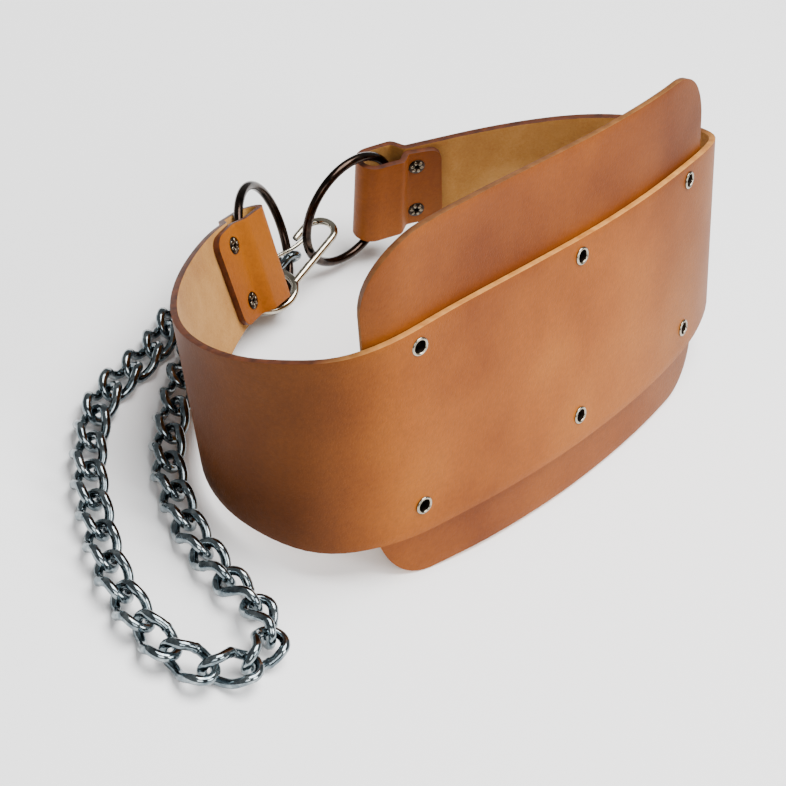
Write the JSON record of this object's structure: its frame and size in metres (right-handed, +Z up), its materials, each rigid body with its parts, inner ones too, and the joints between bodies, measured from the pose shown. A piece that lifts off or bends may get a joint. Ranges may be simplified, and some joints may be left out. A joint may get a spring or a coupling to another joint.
{
  "type": "dip belt",
  "caption": "Leather dip belt with a tall back pad, two dark steel rings, a wire snap hook and a twisted-link chain.",
  "frame": {"origin": "middle of the bottom of the whole part's box, on the surface it rests on", "axes": "+Z up, +X along the back pad from the chain's side, +Y from the pad towards the open front of the loop"},
  "size_m": [0.3845, 0.2088, 0.1633],
  "materials": {
    "grain_leather": "satin",
    "dark_steel": "satin",
    "nickel": "polished",
    "zinc": "polished"
  },
  "bodies": {
    "belt": {"back_pad": "grain_leather", "belt_band": "grain_leather", "chain_link_01": "zinc", "chain_link_02": "zinc", "chain_link_03": "zinc", "chain_link_04": "zinc", "chain_link_05": "zinc", "chain_link_06": "zinc", "chain_link_07": "zinc", "chain_link_08": "zinc", "chain_link_09": "zinc", "chain_link_10": "zinc", "chain_link_11": "zinc", "chain_link_12": "zinc", "chain_link_13": "zinc", "chain_link_14": "zinc", "chain_link_15": "zinc", "chain_link_16": "zinc", "chain_link_17": "zinc", "chain_link_18": "zinc", "chain_link_19": "zinc", "chain_link_20": "zinc", "chain_link_21": "zinc", "chain_link_22": "zinc", "chain_link_23": "zinc", "chain_link_24": "zinc", "chain_link_25": "zinc", "chain_link_26": "zinc", "chain_link_27": "zinc", "chain_link_28": "zinc", "chain_link_29": "zinc", "chain_link_30": "zinc", "chain_link_31": "zinc", "chain_link_32": "zinc", "chain_link_33": "zinc", "end_rivet_1": "nickel", "end_rivet_2": "nickel", "end_rivet_3": "nickel", "end_rivet_4": "nickel", "pad_eyelet_1": "nickel", "pad_eyelet_2": "nickel", "pad_eyelet_3": "nickel", "pad_eyelet_4": "nickel", "pad_eyelet_5": "nickel", "pad_eyelet_6": "nickel", "ring_left": "dark_steel", "ring_right": "dark_steel", "snap_hook": "nickel"},
    "gate": {"snap_gate": "nickel"}
  },
  "joints": [
    {"name": "gate_hinge", "type": "hinge", "parent": "belt", "child": "gate", "pos_m": [0.0229, 0.0785, 0.018], "axis": [-0.3302, 0.1467, 0.9324], "range_deg": [-12, 0], "stiffness_Nm_per_rad": 0.02}
  ]
}
